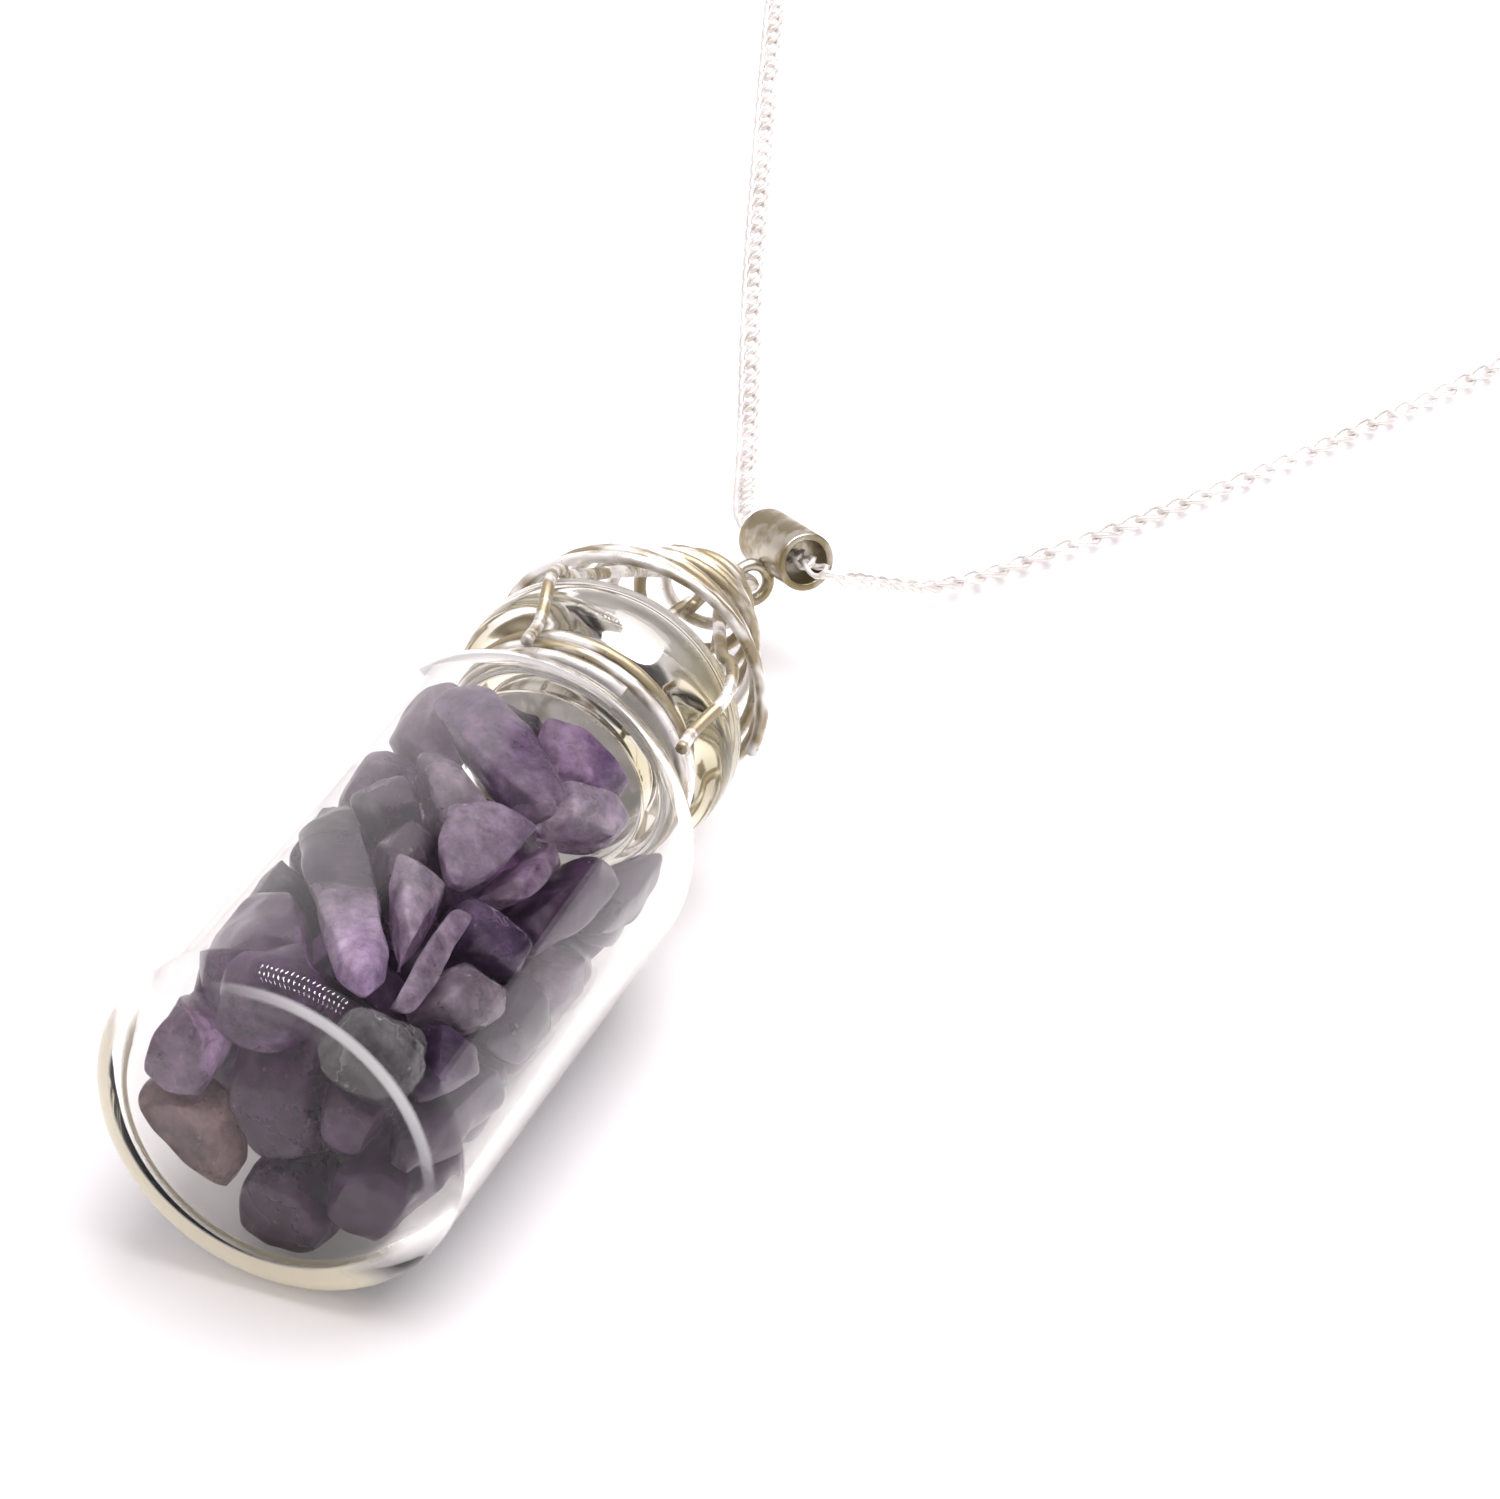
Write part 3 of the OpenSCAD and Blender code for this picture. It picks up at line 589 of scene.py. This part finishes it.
# A tone is (deep colour, pale colour, clearness, roughness, flecks, cracks)
LONG_CHIP_FROM = 4.5
LONG_CHIP_TONE = ((0.32, 0.22, 0.38), (0.62, 0.50, 0.65), 0.55, 0.24, 0.30, 0.0)
TONES = {
    "lavender": ((0.29, 0.185, 0.35), (0.60, 0.46, 0.62), 0.55, 0.24, 0.30, 0.0),
    "lilac": ((0.39, 0.28, 0.44), (0.71, 0.57, 0.72), 0.55, 0.24, 0.30, 0.1),
    "violet": ((0.37, 0.21, 0.48), (0.88, 0.65, 0.87), 0.62, 0.15, 0.25, 1.0),
    "iris": ((0.66, 0.48, 0.73), (0.98, 0.90, 0.98), 0.62, 0.15, 0.25, 1.0),
    "ink": ((0.075, 0.038, 0.115), (0.25, 0.150, 0.30), 0.55, 0.15, 0.25, 0.6),
    "plum": ((0.66, 0.48, 0.70), (0.95, 0.84, 0.95), 0.60, 0.22, 0.30, 0.2),
    "rose": ((0.48, 0.35, 0.52), (0.80, 0.68, 0.80), 0.60, 0.22, 0.30, 0.2),
    "orchid": ((0.27, 0.145, 0.31), (0.62, 0.44, 0.63), 0.60, 0.22, 0.30, 0.1),
    "mauve": ((0.14, 0.058, 0.17), (0.33, 0.19, 0.35), 0.60, 0.22, 0.30, 0.1),
    "shadow": ((0.095, 0.034, 0.115), (0.23, 0.12, 0.25), 0.60, 0.22, 0.20, 0.0),
    "ash": ((0.175, 0.143, 0.18), (0.63, 0.495, 0.63), 0.50, 0.24, 0.45, 0.15),
    "smoke": ((0.065, 0.048, 0.068), (0.28, 0.18, 0.28), 0.50, 0.24, 0.45, 0.15),
    "slate": ((0.045, 0.044, 0.056), (0.36, 0.34, 0.36), 0.40, 0.24, 0.60, 0.3),
    "frost": ((0.225, 0.135, 0.235), (0.47, 0.335, 0.46), 0.50, 0.32, 0.30, 0.0),
    "haze": ((0.03, 0.010, 0.04), (0.08, 0.035, 0.09), 0.10, 0.32, 0.30, 0.0),
    # The stones at the base get these darker colours: part their own deep plum, part painted shade
    "deep_and_shaded": ((0.055, 0.018, 0.064), (0.17, 0.075, 0.18), 0.35, 0.28, 0.20, 0.1),
    "tan": ((0.36, 0.225, 0.245), (0.67, 0.47, 0.45), 0.45, 0.28, 0.30, 0.0),
}
CHIP_TONES = {
    "long": (1,), "lavender": (6,), "lilac": (2,), "rose": (16,), "violet": (5,), "iris": (4,),
    "ink": (17, 23), "plum": (15,), "orchid": (3, 28), "mauve": (18, 27), "shadow": (12, 33),
    "ash": (11, 21), "slate": (22,), "smoke": (8, 10, 14, 19, 20), "frost": (7, 9, 26),
    "haze": (13, 24, 25), "deep_and_shaded": (30, 31, 32), "tan": (29,),
}


def relax(bm, times):
    for _ in range(times):
        bmesh.ops.smooth_vert(bm, verts=bm.verts, factor=0.5, use_axis_x=True, use_axis_y=True,
                              use_axis_z=True)


def tumbled(node, cuts, dent, seed):
    """A chip's flat facets worn round, hollowed and pitted, and never larger than the solid."""
    bm = bmesh.new()
    bm.from_mesh(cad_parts[node].data)
    bmesh.ops.transform(bm, matrix=FROM_ROW, verts=bm.verts)
    bmesh.ops.remove_doubles(bm, verts=bm.verts, dist=0.0005)
    bmesh.ops.dissolve_limit(bm, angle_limit=math.radians(9), verts=bm.verts, edges=bm.edges)
    bmesh.ops.triangulate(bm, faces=bm.faces)
    bmesh.ops.subdivide_edges(bm, edges=bm.edges, cuts=cuts, use_grid_fill=True)
    relax(bm, 3)
    bmesh.ops.triangulate(bm, faces=bm.faces)
    bmesh.ops.subdivide_edges(bm, edges=bm.edges, cuts=1, use_grid_fill=True)
    relax(bm, 1)
    bm.normal_update()
    drift = Vector((seed * 3.1, seed * 1.7, -seed * 2.3))
    for v in bm.verts:
        wide = 0.5 + 0.5 * noise.noise(v.co * 0.50 + drift)
        ripple = 0.5 + 0.5 * noise.noise(v.co * 1.15 + drift)
        v.co -= v.normal * dent * (wide * wide + 0.30 * ripple)
    relax(bm, 1)
    bmesh.ops.recalc_face_normals(bm, faces=bm.faces)
    return bm


def add_chips():
    materials = {name: [amethyst(f"{name}_{k}", tone, 0.11 * i + 0.37 * k) for k in (0, 1)]
                 for i, (name, tone) in enumerate(TONES.items(), 1)}
    long_chip = amethyst("long", LONG_CHIP_TONE, 0.0, light_and_shade_along=True)
    materials["long"] = [long_chip, long_chip]
    for tone, chips in CHIP_TONES.items():
        for chip in chips:
            node = f"chip_{chip:02d}"
            bm = tumbled(node, cuts=5, dent=0.40, seed=chip)
            settle(f"stone_{chip:02d}", bm, materials[tone][chip % 2], node)
    bm = tumbled("chip_bed", cuts=3, dent=0.35, seed=50)
    settle("stones_below", bm, materials["mauve"][0], "chip_bed")


# The wire

CONE_FOOT = (LIP_R - 0.8, MOUTH + 0.8)
CONE_TIP = (0.85, MOUTH + 10.6)
CONE_DROOP = 0.9
CAP_TURNS = 7
# In degrees: where the neck's turns, each stay and the cone's free end start, how far a stay turns on
# its way, and where the end loop leaves its stem and meets it again
WRAP_FROM = 200
STAYS_FROM, STAY_TWIST = (22, 104, 197, 288), 26
FREE_END_TURN = -20
LOOP_FROM, LOOP_TO = 28, 318


def round_axis(r, turn, y, drop=0.0):
    a = math.radians(turn)
    return Vector((r * math.cos(a), y, BOTTLE_R - drop + r * math.sin(a)))


def cone_drop(y):
    t = max(0.0, (y - CONE_FOOT[1]) / (CONE_TIP[1] - CONE_FOOT[1]))
    return CONE_DROOP * t * t


def round_cone(r, turn, y):
    return round_axis(r, turn, y, cone_drop(y))


def lerp(a, b, t):
    return a + (b - a) * t


def add_neck_wrap(silver):
    turns, pitch, steps = 2.4, 0.74, 40
    top = LIP_START - ON_GLASS
    path = [round_axis(NECK_R + ON_GLASS, WRAP_FROM - 360 * k / steps, top - pitch * k / steps)
            for k in range(round(turns * steps) + 1)]
    settle("wire_round_neck", wire(path, WIRE_R), silver, "neck_wrap")


def add_stays(silver):
    groove = NECK_R + ON_GLASS + ON_WIRE
    slant = (LIP_ROUND + ON_GLASS) * math.sin(math.radians(45))
    rows = [
        (groove, LIP_START - 2.2, 0), (groove, LIP_START - 0.9, 0.02),
        (LIP_R - LIP_ROUND + slant, LIP_START + LIP_ROUND - slant, 0.05),
        (LIP_R + ON_GLASS, LIP_START + LIP_ROUND, 0.1), (LIP_R + ON_GLASS, MOUTH - LIP_ROUND, 0.2),
        (LIP_R - LIP_ROUND + slant, MOUTH - LIP_ROUND + slant, 0.3), (*CONE_FOOT, 0.4),
        (lerp(CONE_FOOT[0], CONE_TIP[0], 0.5), lerp(CONE_FOOT[1], CONE_TIP[1], 0.5), 0.7), (*CONE_TIP, 1),
    ]
    for i, start in enumerate(STAYS_FROM):
        path = smooth_path([round_cone(r, start + STAY_TWIST * t, y) for r, y, t in rows], 6)
        settle(f"wire_stay_{i + 1}", wire(path, WIRE_R), silver, f"stay_{i + 1}")


def add_cone(silver):
    slope = Vector((CONE_TIP[0] - CONE_FOOT[0], CONE_TIP[1] - CONE_FOOT[1])).normalized()
    off = (ON_WIRE + 0.06) * Vector((slope[1], -slope[0]))
    foot, tip = Vector(CONE_FOOT) + off, Vector(CONE_TIP) + off - 0.4 * slope
    steps = CAP_TURNS * 40
    path = []
    for k in range(steps + 1):
        t = k / steps
        turn = FREE_END_TURN + 360 * CAP_TURNS * t
        p = foot.lerp(tip, t)
        loose = 0.18 * (1 - t)
        path.append(round_cone(p[0] + loose * (1 + math.sin(math.radians(2.3 * turn))), turn,
                               p[1] + loose * math.sin(math.radians(1.7 * turn + 40))))
    settle("wire_cone", wire(path, WIRE_R), silver, "cap_coil")


# The chain, its bail and its clasp

CHAIN_R = 0.6
# How high the chain's middle lies where it rests on the table
LIE = CHAIN_R
CHAIN_FAR_X = 63.98
LINK_PITCH = 1.30
CLASP_AT = Vector((10, 232, CHAIN_R))
CLASP_R, CLASP_D, CLASP_CAP = 2.6, 1.0, 2.2
REACH = Vector((CLASP_R + CLASP_CAP + 0.12, 0, 0))
ROUTE = [CLASP_AT - REACH] + [Vector(p) for p in (
    (-4, 230.2, LIE), (-17, 225.3, LIE), (-31.5, 214, LIE), (-40.5, 199, LIE), (-44, 182, LIE),
    (-40.5, 158.5, LIE), (-35.5, 141.5, LIE), (-29.5, 123.5, LIE), (-23.4, 106.5, LIE), (-16, 87, LIE),
    (-12.3, 77.5, LIE), (-8.8, 69, LIE), (-6, 62.2, 1.4), (-3.7, 56.6, 3.3), (-2.4, 54, 4.2),
    (-1.1, 52.6, 4.7), (0.8, 50.9, 5.4), (2.7, 49.2, 6.1), (3.8, 48.5, 6.3), (4.5, 49.2, 5.7),
    (4.5, 51, 4.6), (4.7, 53.4, 3), (5.6, 56.2, 1.4), (7.8, 60, LIE), (11.6, 65.5, LIE),
    (17.3, 74.8, LIE), (23.5, 86.3, LIE), (34.5, 108, LIE), (46.5, 132.5, LIE), (57, 156, LIE),
    (64, 182, LIE), (60.7, 199, LIE), (51.4, 214, LIE), (37, 225.3, LIE), (24, 230.2, LIE),
)] + [CLASP_AT + REACH]
BAIL_POINT = 17
BAIL_D, BAIL_BORE, BAIL_LEN = 2.7, 2.0, 4.6
EAR_D, EAR_R = 0.56, 0.85
LOOP_R = 1.0


def across(a, v):
    return (v - v.dot(a) * a).normalized()


BAIL_AT = ROUTE[BAIL_POINT]
BAIL_ALONG = (ROUTE[BAIL_POINT + 1] - ROUTE[BAIL_POINT - 1]).normalized()
EAR_WAY = across(BAIL_ALONG, Vector((-0.45, -0.75, -0.49)))
EAR_AT = BAIL_AT + (BAIL_D / 2 + EAR_R) * EAR_WAY


def add_end_loop(silver):
    """The wire's end goes through the bail's ear and back round itself."""
    tip = round_cone(0, 0, CONE_TIP[1])
    aim = (tip - EAR_AT).normalized()
    inward = across(BAIL_ALONG, aim)
    loop_at = EAR_AT + LOOP_R * inward
    lift = inward.cross(BAIL_ALONG)
    to_start = tip - loop_at
    home = math.degrees(math.atan2(to_start.dot(BAIL_ALONG), -to_start.dot(inward)))
    stem = to_start.normalized()
    foot = loop_at + (LOOP_R + 0.45) * stem
    u = across(stem, BAIL_ALONG)
    v = stem.cross(u)
    ring = []
    for k in range(14):
        t = k / 13
        a = math.radians(home - lerp(LOOP_FROM, LOOP_TO, t))
        round_loop = math.sin(a) * BAIL_ALONG - math.cos(a) * inward
        ring.append(loop_at + LOOP_R * round_loop + lift * lerp(-0.1, 0.3, t))
    path = smooth_path([round_cone(0, 0, CONE_TIP[1] - 2.4), round_cone(0, 0, CONE_TIP[1] - 0.4),
                        foot + 0.9 * stem, foot] + ring, 4)
    for k in range(46):
        t = k / 20
        a = math.tau * t
        path.append(foot + (0.1 + 0.68 * t) * stem + ON_WIRE * (math.cos(a) * u + math.sin(a) * v))
    settle("wire_end_loop", wire(path, WIRE_R), silver, "end_loop")


def add_bail(silver):
    edge = 0.1
    half = BAIL_LEN / 2
    bm = turned([
        (BAIL_BORE / 2, -half, edge), (BAIL_D / 2, -half, edge), (BAIL_D / 2, half, edge),
        (BAIL_BORE / 2, half, edge),
    ], closed=True, steps=64, cent=BAIL_AT, axis=BAIL_ALONG, out=EAR_WAY)
    ring = [EAR_AT + EAR_R * (math.cos(a) * EAR_WAY + math.sin(a) * EAR_WAY.cross(BAIL_ALONG))
            for a in round_turn(32)]
    add_to(bm, wire(ring, EAR_D / 2, closed=True))
    settle("bail_tube", bm, silver, "bail")


def curb_link():
    """One link: an oval twisted a quarter turn so that its neighbours lie flat beside it."""
    half_long, half_wide, twist, count = 0.80, 0.40, 0.16, 14
    ring = [Vector((half_long * math.cos(a), half_wide * math.sin(a), twist * math.sin(2 * a)))
            for a in round_turn(count)]
    return wire(ring, 0.15, sides=0, closed=True)


def add_chain(silver):
    path = [Vector((min(p.x, CHAIN_FAR_X), p.y, max(CHAIN_R, p.z))) for p in smooth_path(ROUTE, 12)]
    lengths = [0.0]
    for a, b in zip(path, path[1:]):
        lengths.append(lengths[-1] + (b - a).length)
    count = round(lengths[-1] / LINK_PITCH) - 1
    step = lengths[-1] / (count + 1)
    link = curb_link()
    pattern_mesh = bpy.data.meshes.new("link")
    link.to_mesh(pattern_mesh)
    link.free()
    bm = bmesh.new()
    at, side = 0, Vector((0, 0, 1))
    for n in range(count + 1):
        along = (n + 0.5) * step
        while lengths[at + 1] < along:
            at += 1
        way = (path[at + 1] - path[at]).normalized()
        spot = path[at].lerp(path[at + 1], (along - lengths[at]) / (lengths[at + 1] - lengths[at]))
        side = across(way, side.lerp(Vector((0, 0, 1)), 0.1))
        turned_to = Matrix((way, side.cross(way), side)).transposed().to_4x4()
        old = len(bm.verts)
        bm.from_mesh(pattern_mesh)
        bm.verts.ensure_lookup_table()
        bmesh.ops.transform(bm, matrix=Matrix.Translation(spot) @ turned_to, verts=bm.verts[old:])
    bpy.data.meshes.remove(pattern_mesh)
    settle("curb_chain", bm, silver, "chain")


def add_clasp(silver):
    centre = Vector((CLASP_AT.x, CLASP_AT.y, CLASP_D / 2))
    ring = [centre + CLASP_R * Vector((math.cos(a), math.sin(a), 0)) for a in round_turn(48)]
    bm = wire(ring, CLASP_D / 2 - 0.01, closed=True)
    for way in (1, -1):
        add_to(bm, turned([(0, CLASP_R - 0.1, 0), (CLASP_D / 2, CLASP_R - 0.1, 0.05),
                           (CLASP_D / 2, CLASP_R + CLASP_CAP, 0.15), (0, CLASP_R + CLASP_CAP, 0)],
                          closed=False, steps=24, cent=centre, axis=Vector((way, 0, 0)),
                          out=Vector((0, 0, 1))))
    settle("clasp_ring", bm, silver, "clasp")


# The table

def add_table(material):
    bm = bmesh.new()
    bmesh.ops.create_grid(bm, x_segments=1, y_segments=1, size=3)
    add_stage("table", bm, material)


def set_render_look():
    scene = bpy.context.scene
    scene.view_settings.view_transform = "Standard"
    scene.view_settings.look = "None"
    scene.cycles.max_bounces = 14
    scene.cycles.transmission_bounces = 12
    scene.cycles.glossy_bounces = 8
    scene.cycles.diffuse_bounces = 3
    scene.cycles.use_denoising = True
    scene.cycles.sample_clamp_indirect = 24


add_camera()
add_room()
add_soft_light()
set_render_look()
add_table(table_white())
add_lamp_rows()
add_vial(vial_glass())
add_plug(resin())
add_chips()
drawn_silver = silver_plate("drawn")
add_neck_wrap(drawn_silver)
add_stays(drawn_silver)
add_cone(drawn_silver)
add_end_loop(drawn_silver)
add_bail(silver_plate("brushed_bail"))
chain_silver = silver_plate("chain")
add_chain(chain_silver)
add_clasp(chain_silver)
